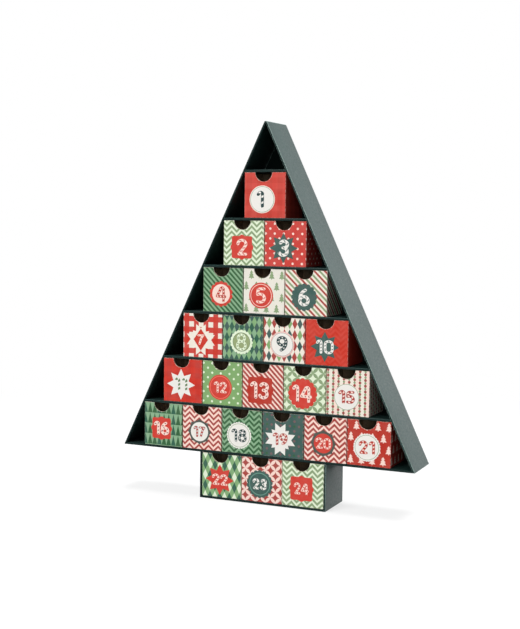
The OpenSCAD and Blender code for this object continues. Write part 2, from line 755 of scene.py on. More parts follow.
@dataclass(frozen=True)
class PrintedCard(Finish):
    """Satin printed card on the outside of a drawer, read from the piece's wrap map."""

    name: str
    pattern: Pattern
    front_width: float
    front_height: float
    notch_radius: float
    notch_shift: float
    wear: float = 0.6
    wear_mm: float = 0.55
    patch_mm: float = 2.2
    cloud_mm: float = 14.0
    grain_mm: float = 0.3
    cloud_share: float = 0.03
    grain_share: float = 0.07
    roughness: float = 0.44
    depth: float = 0.12 * MM

    def material(self) -> bpy.types.Material:
        """Makes the print with its ink clouds, paper grain and pale worn folds.

        Returns:
            The material.
        """
        graph = Graph.of_material(self.name)
        wrap = graph.map("wrap")
        u, v, _ = graph.split(wrap)
        grain = graph.clouds(wrap, self.grain_mm, 2)
        clouds = graph.clouds(wrap, self.cloud_mm, 3)
        colour = self.pattern.printed(u, v)
        colour = (clouds.ramp(0.35, 0.7) * self.cloud_share).between(colour, Ink.CREAM)
        colour = (grain.ramp(0.3, 0.7) * self.grain_share).between(colour, Ink.BOARD_FLECK, "MULTIPLY")
        notch = abs(reach_of(u + self.notch_shift, v - self.front_height) - self.notch_radius)
        fold = abs(abs(u) - self.front_width / 2).least(abs(v)).least(self.front_height - v).least(notch)
        patchy = graph.clouds(wrap, self.patch_mm, 4).ramp(0.42, 0.62)
        colour = (fold.ramp(self.wear_mm, 0.1) * patchy * self.wear).between(colour, Ink.CREAM)
        roughness = self.roughness + (clouds - 0.5) * 0.2 + (grain - 0.5) * 0.12
        return graph.finish(colour, roughness, clouds * 0.7 + grain * 0.1, self.depth, PRINT_GLOSS)


@dataclass(frozen=True)
class CutEdge(Finish):
    """Cut edge of the printed card: pale core between its two faces."""

    name: str = "card_cut_edge"
    fibre_mm: float = 0.4
    roughness: float = 0.85
    depth: float = 0.05 * MM

    def material(self) -> bpy.types.Material:
        """Makes the cut edge with its pressed fibres.

        Returns:
            The material.
        """
        graph = Graph.of_material(self.name)
        fibre = graph.clouds(graph.stretched(graph.place(), (1.0, 1.0, 2.5)), self.fibre_mm, 4)
        colour = (fibre.ramp(0.3, 0.75) * 0.55).between(Ink.CUT, Ink.BOARD)
        return graph.finish(colour, self.roughness + (fibre - 0.5) * 0.1, fibre, self.depth)


@dataclass(frozen=True)
class GreyBoard(Finish):
    """Bare recycled board on the inside of a drawer."""

    name: str = "bare_board"
    fibre_mm: float = 0.9
    cloud_mm: float = 18.0
    fleck_mm: float = 2.4
    roughness: float = 0.88
    depth: float = 0.06 * MM

    def material(self) -> bpy.types.Material:
        """Makes the board with its fibres and dark flecks.

        Returns:
            The material.
        """
        graph = Graph.of_material(self.name)
        where = graph.place()
        fibre = graph.clouds(where, self.fibre_mm, 6)
        clouds = graph.clouds(where, self.cloud_mm, 3)
        flecks = graph.flecks(where, self.fleck_mm, 0.16)
        colour = (fibre.ramp(0.35, 0.7) * 0.35).between(Ink.BOARD, Ink.BOARD_FLECK)
        colour = (clouds.ramp(0.35, 0.7) * 0.15).between(colour, Ink.CUT)
        colour = (flecks * 0.6).between(colour, Ink.BOARD_FLECK)
        return graph.finish(colour, self.roughness + (fibre - 0.5) * 0.12, fibre + clouds, self.depth)


@dataclass(frozen=True)
class LabelPaper(Finish):
    """Matt label paper, printed in one ink."""

    ink: Ink
    cloud_mm: float = 7.0
    grain_mm: float = 0.3
    cloud_share: float = 0.03
    grain_share: float = 0.05
    roughness: float = 0.5
    depth: float = 0.02 * MM

    def material(self) -> bpy.types.Material:
        """Makes the paper with a little cloud and grain.

        Returns:
            The material.
        """
        graph = Graph.of_material(f"label_{self.ink.name.lower()}")
        where = graph.place()
        grain = graph.clouds(where, self.grain_mm, 3)
        clouds = graph.clouds(where, self.cloud_mm, 3)
        colour = (clouds.ramp(0.3, 0.75) * self.cloud_share).between(self.ink, Ink.CREAM)
        colour = (grain.ramp(0.35, 0.7) * self.grain_share).between(colour, Ink.BOARD_FLECK)
        return graph.finish(colour, self.roughness + (grain - 0.5) * 0.2, grain, self.depth, PRINT_GLOSS)


@dataclass(frozen=True)
class CaneInk(Finish):
    """Numeral in two inks, striped like a candy cane along its stroke."""

    body: Ink
    stripe: Ink
    core_mm: float = 1.5
    pitch_mm: float = 3.7
    stripe_share: float = 0.42
    slant: float = 0.5
    start_mm: float = 0.0
    grain_mm: float = 0.3
    grain_share: float = 0.06
    roughness: float = 0.42
    depth: float = 0.02 * MM

    def material(self) -> bpy.types.Material:
        """Makes the stripes from the stroke map.

        Returns:
            The material.
        """
        graph = Graph.of_material(f"cane_{self.body.name.lower()}_{self.stripe.name.lower()}")
        along, across, _ = graph.split(graph.map("stroke"))
        turn = ((along + across * self.slant - self.start_mm) / self.pitch_mm).part()
        inside = abs(across) < self.core_mm / 2
        grain = graph.clouds(graph.place(), self.grain_mm, 3)
        colour = ((turn < self.stripe_share) * inside).between(self.body, self.stripe)
        colour = (grain.ramp(0.35, 0.7) * self.grain_share).between(colour, Ink.BOARD_FLECK)
        return graph.finish(colour, self.roughness + (grain - 0.5) * 0.2, grain, self.depth, PRINT_GLOSS)


@cache
def dress(finish: Finish) -> bpy.types.Material:
    """The material of a finish, which is made once."""
    return finish.material()


@dataclass
class Piece:
    """A modelled piece on its way from a bmesh to an object of the scene."""

    name: str
    body: str
    slot: Slot
    finishes: Sequence[Finish]
    replaced: Sequence[str] = ()

    def place(self, bm: BMesh, smooth: bool = False) -> bpy.types.Object:
        """Makes the object, which rides on its body.

        Args:
            bm: Finished shape in its place. It is freed.
            smooth: Whether the faces are shaded smooth.

        Returns:
            The object.
        """
        mesh = bpy.data.meshes.new(self.name)
        bm.to_mesh(mesh)
        bm.free()
        for finish in self.finishes:
            mesh.materials.append(dress(finish))
        mesh.polygons.foreach_set("use_smooth", [smooth] * len(mesh.polygons))
        made = bpy.data.objects.new(self.name, mesh)
        bpy.context.scene.collection.objects.link(made)
        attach(made, self.body)
        if self.replaced:
            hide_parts(*self.replaced)
        return made


def block(bm: BMesh, low: Vector, high: Vector) -> list[BMFace]:
    """Adds a box.

    Args:
        bm: Shape that it is added to.
        low: Lowest corner.
        high: Highest corner.

    Returns:
        The box's faces.
    """
    verts = bmesh.ops.create_cube(bm, size=1)["verts"]
    bmesh.ops.scale(bm, vec=high - low, verts=verts)
    bmesh.ops.translate(bm, vec=(low + high) / 2, verts=verts)
    return list(dict.fromkeys(face for vert in verts for face in vert.link_faces))


def fold_edges(bm: BMesh, edges: Sequence[BMEdge], offset: float, segments: int) -> None:
    """Rounds edges by an offset, with that many new faces across each. One face cuts the edge off."""
    bmesh.ops.bevel(bm, geom=edges, offset=offset, affect="EDGES", segments=segments,
                    profile=0.5, material=-1)


def edges_of(faces: Iterable[BMFace]) -> list[BMEdge]:
    """The edges of some faces, each once and in a steady order."""
    return list(dict.fromkeys(edge for face in faces for edge in face.edges))


def rise_of(edge: BMEdge) -> float:
    """How much higher one end of an edge lies than the other."""
    return abs(edge.verts[0].co.z - edge.verts[1].co.z)


# The outer paper is painted darker towards the back as shade.
OUTER_PAPER = WrapPaper("case_paper", roughness=0.485, burnish_per_mm=0.0023, fade_per_mm=0.012)
# The inner faces take a darker copy of the paper as painted shade.
INNER_SHADE_PAPER = WrapPaper("case_inner_painted_shade", Ink.LINING, Ink.CASE_GREEN, gloss=0.4)
# These fold papers carry a painted highlight besides the rubbed flecks, strongest on the right-hand boards.
WORN_HIGHLIGHT_FOLD = WrapPaper("case_paper_worn_highlight_fold", rub=0.8, gloss=0.5)
SOFT_HIGHLIGHT_FOLD = WrapPaper("case_paper_soft_highlight_fold", rub=0.2, gloss=0.3)
# A darker, matter copy of the paper: painted shade on the left and lower folds and on the fronts.
SHADED_PAPER = WrapPaper("case_paper_shaded", Ink.LINING, Ink.CASE_GREEN, gloss=0.12, roughness=0.6)


class BoardSide(IntEnum):
    """Place of each paper among a board's finishes."""

    OUTER = 0
    FOLD = 1
    # Inner faces, in the darker paper of painted shade.
    LINING = 2
    FRONT = 3


@dataclass
class CaseBoard:
    """One board of the case: stiff board with green paper glued round it."""

    node: str
    free: Sequence[Vector]
    fold_paper: WrapPaper = WORN_HIGHLIGHT_FOLD
    has_sheet: bool = False
    fold: float = 0.6 * MM
    inner_fold: float = 0.3 * MM
    segments: int = 3
    sheet_margin: float = 4 * MM
    sheet_step: float = 0.06 * MM
    sheet_thickness: float = 0.2 * MM

    def build(self) -> bpy.types.Object:
        """Makes the board from its solid, with its wrapped edges rounded.

        Returns:
            The board.
        """
        bm = bmesh.new()
        bm.from_mesh(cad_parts[self.node].data)
        bmesh.ops.remove_doubles(bm, verts=bm.verts, dist=TOUCH)
        bmesh.ops.dissolve_limit(bm, angle_limit=math.radians(1), verts=bm.verts, edges=bm.edges)
        weights = bm.edges.layers.float.new("bevel_weight_edge")
        for edge in bm.edges:
            edge[weights] = self._weight(edge)
        for face in bm.faces:
            face.material_index = self._side(face)
        if self.has_sheet:
            self._sheet(bm, weights)
        # The fronts take the darker paper as painted shade.
        papers = [OUTER_PAPER, self.fold_paper, INNER_SHADE_PAPER, SHADED_PAPER]
        made = Piece(f"{self.node}_wrap", "case", Slot.CASE, papers, [self.node]).place(bm, smooth=True)
        rounding = made.modifiers.new("folds", "BEVEL")
        rounding.limit_method = "WEIGHT"
        rounding.width = self.fold
        rounding.segments = self.segments
        rounding.profile = 0.5
        rounding.material = BoardSide.FOLD
        rounding.harden_normals = True
        return made

    def _sheet(self, bm: BMesh, weights: Any) -> None:
        """Glues a plain sheet on the rear face, over the turned-in edges of the wrapping paper.

        Args:
            bm: The board.
            weights: Layer of the edges' bevel weights, which stay 0 round the sheet.
        """
        rear = [face for face in bm.faces if face.normal.dot(FRONT) < -MOSTLY]
        bmesh.ops.inset_region(bm, faces=rear, thickness=self.sheet_margin, use_even_offset=True)
        step = bmesh.ops.inset_region(bm, faces=rear, thickness=self.sheet_step,
                                      depth=self.sheet_thickness, use_even_offset=True)["faces"]
        for edge in edges_of([*rear, *step]):
            edge[weights] = 0.0
        for face in rear:
            face.material_index = BoardSide.FRONT
        for face in step:
            face.material_index = BoardSide.FOLD

    def _weight(self, edge: BMEdge) -> float:
        """Tells how wide an edge is rounded: fully between free faces, a little at the front and rear.

        Args:
            edge: Edge of the board.

        Returns:
            The share of the full fold.
        """
        if all(self._is_free(face) for face in edge.link_faces):
            return 1.0
        ends = any(abs(face.normal.y) > MOSTLY for face in edge.link_faces)
        return self.inner_fold / self.fold if ends else 0.0

    def _side(self, face: BMFace) -> BoardSide:
        """Tells which paper a face has.

        Args:
            face: Face of the board.

        Returns:
            The paper's place among the finishes.
        """
        # Fronts and inner faces get darker papers as painted shade.
        if face.normal.dot(FRONT) > MOSTLY:
            return BoardSide.FRONT
        return BoardSide.OUTER if self._is_free(face) else BoardSide.LINING

    def _is_free(self, face: BMFace) -> bool:
        """Whether a face looks out of the case."""
        return any(face.normal.dot(way) > MOSTLY for way in self.free)


@dataclass
class Case:
    """The pointed crown and the square trunk, with their shelves and back boards."""

    shelves: int = 6

    def build(self) -> list[bpy.types.Object]:
        """Makes all boards, each with the directions in which its faces are free.

        Returns:
            The boards.
        """
        low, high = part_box("right_roof_board")
        rise = math.atan2(high.x - low.x, high.z - low.z)
        right, left = (Vector((side * math.cos(rise), 0, math.sin(rise))) for side in (1, -1))
        ends = [FRONT, -FRONT]
        # Right-hand boards get lighter folds as painted highlight; left-hand boards and floors get the darker
        # paper as painted shade.
        boards = [
            CaseBoard("right_roof_board", [right, -UP, UP, *ends]),
            CaseBoard("left_roof_board", [left, -UP, UP, *ends], SHADED_PAPER),
            CaseBoard("crown_floor", [-UP, *ends], SHADED_PAPER),
            CaseBoard("crown_back", [-FRONT], has_sheet=True),
            CaseBoard("trunk_right_wall", [Vector((1, 0, 0)), -UP, *ends]),
            CaseBoard("trunk_left_wall", [Vector((-1, 0, 0)), -UP, *ends], SHADED_PAPER),
            CaseBoard("trunk_floor", [-UP, *ends], SHADED_PAPER),
            CaseBoard("trunk_back", [-FRONT], has_sheet=True),
            *(CaseBoard(f"shelf_{k}", [FRONT], SOFT_HIGHLIGHT_FOLD) for k in range(1, self.shelves + 1)),
        ]
        return [board.build() for board in boards]


@dataclass(frozen=True)
class Outline:
    """Round outline of a die-cut plate, in millimetres. Other outlines are drawn in or out from it."""

    size: float

    def counts(self) -> tuple[int, int]:
        """Number of like parts round the outline, and of corners in each."""
        return 56, 1

    def reach(self, off: float) -> float:
        """Distance of a corner that lies that angle off the middle of its part."""
        return self.size / 2

    def corners(self) -> list[tuple[float, float]]:
        """Lists the corners, the first one straight up.

        Returns:
            The direction in radians and the distance in millimetres of each.
        """
        parts, each = self.counts()
        step = 2 * math.pi / parts
        return [(math.pi / 2 + step * k / each, self.reach(((k / each + 0.5) % 1 - 0.5) * step))
                for k in range(parts * each)]


@dataclass(frozen=True)
class Scallops(Outline):
    """Disc with round lobes along its rim."""

    lobes: int
    lobe_share: float = 1.15

    def counts(self) -> tuple[int, int]:
        """Eight corners to a lobe."""
        return self.lobes, 8

    def reach(self, off: float) -> float:
        """Follows the nearest lobe.

        Args:
            off: Angle from the middle of the lobe.

        Returns:
            The distance from the middle.
        """
        lobe = self.lobe_share * math.pi * self.size / 2 / (self.lobes + math.pi)
        middle = self.size / 2 - lobe
        across = middle * math.sin(off)
        return middle * math.cos(off) + math.sqrt(max(0.0, lobe ** 2 - across ** 2))


@dataclass(frozen=True)
class Plaque(Outline):
    """Square with a round lobe in the middle of each side."""

    lobe: float = 3.6
    proud: float = 1.6
    corner_share: float = 0.95

    def counts(self) -> tuple[int, int]:
        """Twenty-four corners to a side."""
        return 4, 24

    def reach(self, off: float) -> float:
        """Follows the side or its lobe, whichever lies further out.

        Args:
            off: Angle from the middle of the side.

        Returns:
            The distance from the middle.
        """
        half = self.size / 2 - self.proud
        middle = self.size / 2 - self.lobe
        side = min(half / math.cos(off), self.corner_share * half * math.sqrt(2))
        across = self.lobe ** 2 - (middle * math.sin(off)) ** 2
        return max(side, middle * math.cos(off) + math.sqrt(across) if across > 0 else 0.0)


@dataclass(frozen=True)
class Star(Outline):
    """Star whose points all have one length. With two points it is an upright rhombus."""

    inner: float
    points: int = 8

    def counts(self) -> tuple[int, int]:
        """A point and a notch by turns."""
        return self.points, 2

    def reach(self, off: float) -> float:
        """The outer distance on a point, and the inner one midway between two."""
        return (self.inner if off else self.size) / 2


@dataclass(frozen=True)
class Seal(Outline):
    """Disc with small pointed teeth."""

    inner: float
    teeth: int = 8
    tooth_share: float = 0.34

    def counts(self) -> tuple[int, int]:
        """Eight corners to a tooth."""
        return self.teeth, 8

    def reach(self, off: float) -> float:
        """Follows the nearest tooth, or the disc between two."""
        point = max(0.0, 1 - abs(off) * self.teeth / math.pi / self.tooth_share)
        return (self.inner + (self.size - self.inner) * point) / 2


@dataclass(frozen=True)
class Burst(Outline):
    """Quilt star: a pair of long points on each side and a short one on each corner."""

    short_share: float = 0.78
    valley_share: float = 0.7
    notch_share: float = 0.6
    spread: float = math.radians(19)
    notch: float = math.radians(33)

    def corners(self) -> list[tuple[float, float]]:
        """Lists the points and the notches between them, side by side round the star.

        Returns:
            The direction in radians and the distance in millimetres of each.
        """
        quarter = math.pi / 2
        side = [(0.0, self.valley_share), (self.spread, 1.0), (self.notch, self.notch_share),
                (quarter / 2, self.short_share), (quarter - self.notch, self.notch_share),
                (quarter - self.spread, 1.0)]
        return [(quarter * k + turn, self.size / 2 * share) for k in range(1, 5) for turn, share in side]


@dataclass(frozen=True)
class Plate:
    """One layer of a label: a die-cut shape in one ink."""

    outline: Outline
    ink: Ink


@dataclass(frozen=True)
class Line:
    """Straight stretch of a numeral's stroke, in shares of the numeral's height."""

    length: float


@dataclass(frozen=True)
class Arc:
    """Round stretch of a stroke: radius in shares of the height, and turn in degrees to the left."""

    radius: float
    turn: float


@dataclass(frozen=True)
class Stroke:
    """One stroke of a numeral, from a start and a heading in degrees through its stretches."""

    start: tuple[float, float]
    heading: float
    moves: tuple[Line | Arc, ...]
    closed: bool = False


def ring(middle: tuple[float, float], radius: float) -> Stroke:
    """A closed round stroke."""
    return Stroke((middle[0] - radius, middle[1]), -90, (Arc(radius, 360),), closed=True)


STROKES = {
    "0": (Stroke((0, 0.28), 90, (Line(0.44), Arc(0.28, -180), Line(0.44), Arc(0.28, -180)), closed=True),),
    "1": (Stroke((0, 0.85), 55, (Line(0.12), Arc(0.13, -145), Line(0.87))),),
    "2": (Stroke((0.02, 0.73), 90, (Arc(0.27, -215), Line(0.66))), Stroke((0.1, 0.01), 0, (Line(0.46),))),
    "3": (Stroke((0.03, 0.86), 65, (Arc(0.235, -245),)), Stroke((0.2, 0.53), 0, (Arc(0.265, -245),))),
    "4": (Stroke((0.02, 0.36), 60, (Line(0.62), Arc(0.125, -150), Line(0.86))),
          Stroke((0, 0.33), -2, (Line(0.7),))),
    "5": (Stroke((0.48, 0.98), 180, (Line(0.2), Arc(0.19, 86), Line(0.2))),
          Stroke((0.08, 0.57), 30, (Arc(0.29, -240),))),
    "6": (Stroke((0.36, 0.98), 205, (Arc(0.6, 62),)), ring((0.275, 0.275), 0.275)),
    "7": (Stroke((0, 0.98), 0, (Line(0.52),)), Stroke((0.52, 0.98), -135, (Arc(0.95, 30), Line(0.55)))),
    "8": (ring((0.27, 0.775), 0.225), ring((0.27, 0.27), 0.275)),
    "9": (ring((0.275, 0.725), 0.275), Stroke((0.55, 0.74), -90, (Line(0.1), Arc(0.62, -62)))),
}


@dataclass(frozen=True)
class Numeral:
    """Size and inks of a drawer's number, in millimetres."""

    height: float
    width: float
    inks: CaneInk
    weight: float = 3.0
    shift: float = 0.0
    gap_share: float = 0.06


@dataclass
class StrokePen:
    """Draws a numeral's strokes as flat ribbons: a rib of two edges is extruded step by step."""

    bm: BMesh
    origin: Vector
    scale: float
    width: float
    material: int
    step: float = math.radians(15)
    cap_steps: int = 7
    uv: Any = field(init=False)
    at: Vector = field(init=False)
    heading: float = field(init=False)
    run: float = field(init=False)

    def draw(self, stroke: Stroke) -> list[BMVert]:
        """Draws one stroke.

        Args:
            stroke: Stroke to draw, in shares of the height.

        Returns:
            All its vertices.
        """
        before = set(self.bm.verts)
        self.uv = self.bm.loops.layers.uv.verify()
        self.at = self.origin + self._flat(*stroke.start) * self.scale
        self.heading = math.radians(stroke.heading)
        self.run = 0.0
        side = self._left() * (self.width / 2)
        verts = [self.bm.verts.new(self.at + side * share) for share in (-1, 0, 1)]
        rib = [self.bm.edges.new(verts[:2]), self.bm.edges.new(verts[1:])]
        if not stroke.closed:
            self._cap(rib, -1)
        for move in stroke.moves:
            rib = self._follow(rib, move)
        if not stroke.closed:
            self._cap(rib, 1)
        made = [vert for vert in self.bm.verts if vert not in before]
        bmesh.ops.remove_doubles(self.bm, verts=made, dist=self.width / 100)
        return [vert for vert in self.bm.verts if vert not in before]

    def _follow(self, rib: list[BMEdge], move: Line | Arc) -> list[BMEdge]:
        """Extrudes the rib through one stretch.

        Args:
            rib: Edges at the stretch's start.
            move: The stretch.

        Returns:
            The edges at its end.
        """
        if isinstance(move, Line):
            length = move.length * self.scale
            return self._extrude(rib, Matrix.Translation(self._ahead() * length), length)
        turn, radius = math.radians(move.turn), move.radius * self.scale
        steps = max(1, math.ceil(abs(turn) / self.step))
        for _ in range(steps):
            centre = self.at + self._left() * math.copysign(radius, turn)
            spin = Matrix.Rotation(-turn / steps, 4, "Y")
            about = Matrix.Translation(centre) @ spin @ Matrix.Translation(-centre)
            rib = self._extrude(rib, about, radius * abs(turn) / steps)
            self.heading += turn / steps
        return rib

    def _extrude(self, rib: list[BMEdge], move: Matrix, length: float) -> list[BMEdge]:
        """Extrudes the rib by one step and maps the new faces in millimetres along and across.

        Args:
            rib: Edges at the step's start.
            move: How the edges move.
            length: Length of the step along the stroke.

        Returns:
            The edges at its end.
        """
        made = bmesh.ops.extrude_edge_only(self.bm, edges=rib)["geom"]
        fresh = [item for item in made if isinstance(item, BMVert)]
        rib = [item for item in made
               if isinstance(item, BMEdge) and all(vert in fresh for vert in item.verts)]
        bmesh.ops.transform(self.bm, matrix=move, verts=fresh)
        start, self.at = self.at, self._middle(rib).co.copy()
        for face in made:
            if isinstance(face, BMFace):
                face.material_index = self.material
                side = (face.calc_center_median() - self.at).dot(self._left())
                for loop in face.loops:
                    new = loop.vert in fresh
                    off = (loop.vert.co - (self.at if new else start)).length
                    loop[self.uv].uv = ((self.run + length * new) / MM, math.copysign(off, side) / MM)
        self.run += length
        return rib

    def _cap(self, rib: list[BMEdge], way: int) -> None:
        """Closes an end of the stroke with a half disc.

        Args:
            rib: Edges at that end.
            way: 1 at the stroke's end and -1 at its start.
        """
        middle = self._middle(rib)
        edge = next(edge for edge in rib if (edge.other_vert(middle).co - middle.co).dot(self._left()) < 0)
        before = set(self.bm.faces)
        bmesh.ops.spin(self.bm, geom=[edge], cent=middle.co, axis=FRONT, dvec=(0, 0, 0),
                       angle=math.pi * way, space=Matrix(), steps=self.cap_steps, use_merge=False)
        for face in self.bm.faces:
            if face not in before:
                face.material_index = self.material
                for loop in face.loops:
                    off = loop.vert.co - middle.co
                    loop[self.uv].uv = ((self.run + off.dot(self._ahead())) / MM, off.dot(self._left()) / MM)

    def _ahead(self) -> Vector:
        """Direction of the heading."""
        return self._flat(math.cos(self.heading), math.sin(self.heading))

    def _left(self) -> Vector:
        """Direction to the left of the heading."""
        return self._flat(-math.sin(self.heading), math.cos(self.heading))

    @staticmethod
    def _middle(rib: list[BMEdge]) -> BMVert:
        """The vertex that both edges of a rib share."""
        return next(vert for vert in rib[0].verts if vert in rib[1].verts)

    @staticmethod
    def _flat(x: float, z: float) -> Vector:
        """A vector in the plane of the label."""
        return Vector((x, 0, z))


@dataclass
class Label:
    """A drawer's die-cut paper label and the number on it."""

    number: int
    plates: Sequence[Plate]
    numeral: Numeral
    layer: float = 0.05 * MM
    stagger: float = 0.008 * MM

    def build(self, name: str, slot: Slot, middle: Vector) -> bpy.types.Object:
        """Makes the label.

        Args:
            name: Name of the drawer's body.
            slot: Material slot of the drawer.
            middle: Middle of the label on the drawer's front face.

        Returns:
            The label, with its plates and strokes as thin solids.
        """
        bm = bmesh.new()
        bm.loops.layers.uv.new("stroke")
        for k, plate in enumerate(self.plates):
            self._plate(bm, plate, middle + FRONT * self.layer * (k + 1), k)
        self._number(bm, middle + FRONT * self.layer * (len(self.plates) + 1))
        for face in bm.faces:
            face.normal_update()
            if face.normal.dot(FRONT) < 0:
                face.normal_flip()
        finishes = [*(LabelPaper(plate.ink) for plate in self.plates), self.numeral.inks]
        made = Piece(f"{name}_label", name, slot, finishes).place(bm)
        thickness = made.modifiers.new("paper", "SOLIDIFY")
        thickness.thickness = self.layer
        thickness.offset = -1
        return made

    @staticmethod
    def _plate(bm: BMesh, plate: Plate, middle: Vector, material: int) -> None:
        """Adds one plate by drawing the corners of a disc in or out to its outline.

        Args:
            bm: The label.
            plate: The plate.
            middle: Place of its middle.
            material: Place of its paper among the finishes.
        """
        corners = plate.outline.corners()
        made = bmesh.ops.create_circle(bm, cap_ends=True, segments=len(corners), radius=1)["verts"]
        for vert, (turn, reach) in zip(made, corners):
            vert.co = middle + Vector((math.cos(turn), 0, math.sin(turn))) * reach * MM
        for face in made[0].link_faces:
            face.material_index = material

    def _number(self, bm: BMesh, middle: Vector) -> None:
        """Adds the number's digits side by side, with their middle on the label's.

        Args:
            bm: The label.
            middle: Place of the number's middle, in front of the plates.
        """
        weight = self.numeral.weight * MM
        scale = self.numeral.height * MM - weight
        gap = self.numeral.gap_share * self.numeral.height * MM + weight
        left, drawn = 0.0, []
        for digit in str(self.number):
            made = []
            for k, stroke in enumerate(STROKES[digit]):
                start = middle + FRONT * self.stagger * k
                made += StrokePen(bm, start, scale, weight, len(self.plates)).draw(stroke)
            low = min(vert.co.x for vert in made) + weight / 2
            high = max(vert.co.x for vert in made) - weight / 2
            bmesh.ops.translate(bm, verts=made, vec=(left - low, 0, 0))
            left += high - low + gap
            drawn += made
        total = left - gap + weight
        stretch = Matrix.Diagonal((self.numeral.width * MM / total, 1, 1, 1))
        about = Matrix.Translation((-(left - gap) / 2, 0, 0))
        final = Matrix.Translation((middle.x + self.numeral.shift * MM, 0, -scale / 2))
        bmesh.ops.transform(bm, matrix=final @ stretch @ about, verts=drawn)


@dataclass(frozen=True)
class Design:
    """Print and label of one drawer. The label sits that many millimetres astray of its place."""

    slot: Slot
    pattern: Pattern
    plates: tuple[Plate, ...]
    numeral: Numeral
    astray: float = 0.0


class TraySide(IntEnum):
    """Place of each finish on a tray."""

    PRINT = 0
    CUT = 1
    BARE = 2


@dataclass
class Drawer:
    """An open tray folded from printed card, with a round finger notch in its front."""

    number: int
    design: Design
    wall: float = 1.2 * MM
    fold: float = 0.8 * MM
    inner_fold: float = 0.25 * MM
    lower_fold: float = 0.45 * MM
    notch_radius: float = 10.2 * MM
    notch_shift: float = 1.8 * MM
    label_shift: float = 2.2 * MM
    label_height: float = 20.4 * MM
    front_step: float = 0.4 * MM
    notch_steps: int = 20
    fold_steps: int = 4
    lower_fold_steps: int = 2
    tab_width: float = 12 * MM
    tab_thickness: float = 0.35 * MM
    tab_drop: float = 4 * MM
    low: Vector = field(init=False)
    high: Vector = field(init=False)

    def __post_init__(self) -> None:
        """Takes the drawer's place from its solid, with the front a little further in."""
        self.low, self.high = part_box(self.name)
        self.low.y += self.front_step

    @property
    def name(self) -> str:
        """Name of the drawer's node and body."""
        return f"drawer_{self.number:02d}"

    @property
    def middle(self) -> float:
        """Middle of the front from left to right."""
        return (self.low.x + self.high.x) / 2

    def build(self) -> list[bpy.types.Object]:
        """Makes the tray and its label.

        Returns:
            Both pieces.
        """
        label = Label(self.number, self.design.plates, self.design.numeral)
        place = Vector((self.middle + self.design.astray * MM - self.label_shift, self.low.y,
                        self.low.z + self.label_height))
        return [self._tray(), label.build(self.name, self.design.slot, place)]

    def _tray(self) -> bpy.types.Object:
        """Makes the tray in place of its solid.

        Returns:
            The tray.
        """
        bm = bmesh.new()
        outer = self._shell(bm, self.low, self.high, self.fold)
        self._lower_folds(bm)
        inset, floor = Vector((self.wall, self.wall, 0)), Vector((0, 0, self.wall))
        inner = self._shell(bm, self.low + inset + floor, self.high - inset, self.inner_fold)
        for face in bm.faces:
            face.material_index = self._side(face)
        for face in bmesh.ops.bridge_loops(bm, edges=outer + inner)["faces"]:
            face.material_index = TraySide.CUT
        bmesh.ops.recalc_face_normals(bm, faces=bm.faces)
        self._map(bm)
        self._tabs(bm)
        size = (self.high - self.low) / MM
        card = PrintedCard(f"{self.name}_print", self.design.pattern, size.x, size.z,
                           self.notch_radius / MM, self.notch_shift / MM)
        finishes = [card, CutEdge(), GreyBoard()]
        return Piece(self.name + "_tray", self.name, self.design.slot, finishes, [self.name]).place(bm)

    def _side(self, face: BMFace) -> TraySide:
        """Tells which finish a face has, by its place.

        Args:
            face: Face of one of the two shells.

        Returns:
            The print on the outside, and the bare board on the inside.
        """
        off = face.calc_center_median() - (self.low + self.high) / 2
        half = (self.high - self.low) / 2
        slack = self.wall / 2
        inside = abs(off.x) < half.x - slack and abs(off.y) < half.y - slack and off.z > slack - half.z
        return TraySide.BARE if inside else TraySide.PRINT

    def _shell(self, bm: BMesh, low: Vector, high: Vector, fold: float) -> list[BMEdge]:
        """Adds an open box with rounded upright folds and the notch in its front's top edge.

        Args:
            bm: Shape that it is added to.
            low: Lowest corner.
            high: Highest corner.
            fold: Radius of the folds.

        Returns:
            The edges of its rim.
        """
        before = set(bm.verts)
        faces = block(bm, low, high)
        lid = next(face for face in faces if face.calc_center_median().z > high.z - TOUCH)
        uprights = [edge for edge in edges_of(faces) if rise_of(edge) > MM]
        bmesh.ops.delete(bm, geom=[lid], context="FACES_ONLY")
        fold_edges(bm, uprights, fold, self.fold_steps)
        self._notch(bm, low.y, high.z)
        return [edge for edge in bm.edges if edge.is_boundary and before.isdisjoint(edge.verts)]

    def _notch(self, bm: BMesh, front_y: float, top_z: float) -> None:
        """Cuts the front of a shell into columns and lowers their tops to the notch.

        Args:
            bm: The tray.
            front_y: Plane of the shell's front.
            top_z: Height of the shell's rim.
        """
        middle = self.middle - self.notch_shift
        for k in range(self.notch_steps + 1):
            x = middle + self.notch_radius * math.cos(math.pi * k / self.notch_steps)
            front = [face for face in bm.faces
                     if all(abs(vert.co.y - front_y) < TOUCH for vert in face.verts)]
            verts = dict.fromkeys(vert for face in front for vert in face.verts)
            bmesh.ops.bisect_plane(bm, geom=[*front, *edges_of(front), *verts], dist=TOUCH / 10,
                                   plane_co=(x, 0, 0), plane_no=(1, 0, 0))
        for vert in bm.verts:
            off = vert.co.x - middle
            on_rim = abs(vert.co.y - front_y) < TOUCH and vert.co.z > top_z - TOUCH and vert.is_boundary
            if on_rim and abs(off) < self.notch_radius:
                vert.co.z = top_z - math.sqrt(self.notch_radius ** 2 - off ** 2)

    def _lower_folds(self, bm: BMesh) -> None:
        """Rounds the folds between the walls and the bottom.

        Args:
            bm: The outer shell.
        """
        floor = [edge for edge in bm.edges
                 if all(vert.co.z < self.low.z + TOUCH for vert in edge.verts)
                 and any(face.normal.z > -0.5 for face in edge.link_faces)]
        fold_edges(bm, floor, self.lower_fold, self.lower_fold_steps)

